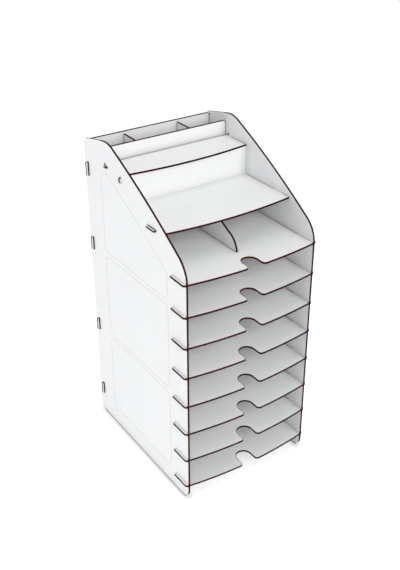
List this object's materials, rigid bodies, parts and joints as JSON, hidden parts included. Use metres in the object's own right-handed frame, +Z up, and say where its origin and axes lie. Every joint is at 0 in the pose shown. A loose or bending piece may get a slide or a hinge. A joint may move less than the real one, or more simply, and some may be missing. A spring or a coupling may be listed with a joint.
{
  "type": "document tower rack",
  "caption": "Slot-together board rack for A4 papers: sloping sides, bowed pull-out shelves with finger notches, an upper tray, a pen ledge and a partitioned pen box.",
  "frame": {"origin": "on the surface that the rack stands on, at the middle of its overall width and depth", "axes": "+Z up, +Y from the open front to the back, +X to the right as seen from the front"},
  "size_m": [0.2594, 0.324, 0.5834],
  "materials": {
    "white_board": "white laminate faces, satin, with dark burnt cut edges"
  },
  "bodies": {
    "rack": {"left_side": "white_board", "right_side": "white_board", "back_panel": "white_board", "shelf_8": "white_board", "upper_tray": "white_board", "pen_ledge": "white_board", "tray_riser": "white_board", "pen_box_front": "white_board", "pen_split_left": "white_board", "pen_split_right": "white_board", "bay_divider": "white_board"},
    "shelf_1": {"shelf_1": "white_board"},
    "shelf_2": {"shelf_2": "white_board"},
    "shelf_3": {"shelf_3": "white_board"},
    "shelf_4": {"shelf_4": "white_board"},
    "shelf_5": {"shelf_5": "white_board"},
    "shelf_6": {"shelf_6": "white_board"},
    "shelf_7": {"shelf_7": "white_board"}
  },
  "joints": [
    {"name": "shelf_1_pull", "type": "slide", "parent": "rack", "child": "shelf_1", "axis": [0, -1, 0], "range_m": [0, 0.325]},
    {"name": "shelf_2_pull", "type": "slide", "parent": "rack", "child": "shelf_2", "axis": [0, -1, 0], "range_m": [0, 0.325]},
    {"name": "shelf_3_pull", "type": "slide", "parent": "rack", "child": "shelf_3", "axis": [0, -1, 0], "range_m": [0, 0.325]},
    {"name": "shelf_4_pull", "type": "slide", "parent": "rack", "child": "shelf_4", "axis": [0, -1, 0], "range_m": [0, 0.325]},
    {"name": "shelf_5_pull", "type": "slide", "parent": "rack", "child": "shelf_5", "axis": [0, -1, 0], "range_m": [0, 0.325]},
    {"name": "shelf_6_pull", "type": "slide", "parent": "rack", "child": "shelf_6", "axis": [0, -1, 0], "range_m": [0, 0.325]},
    {"name": "shelf_7_pull", "type": "slide", "parent": "rack", "child": "shelf_7", "axis": [0, -1, 0], "range_m": [0, 0.325]}
  ]
}
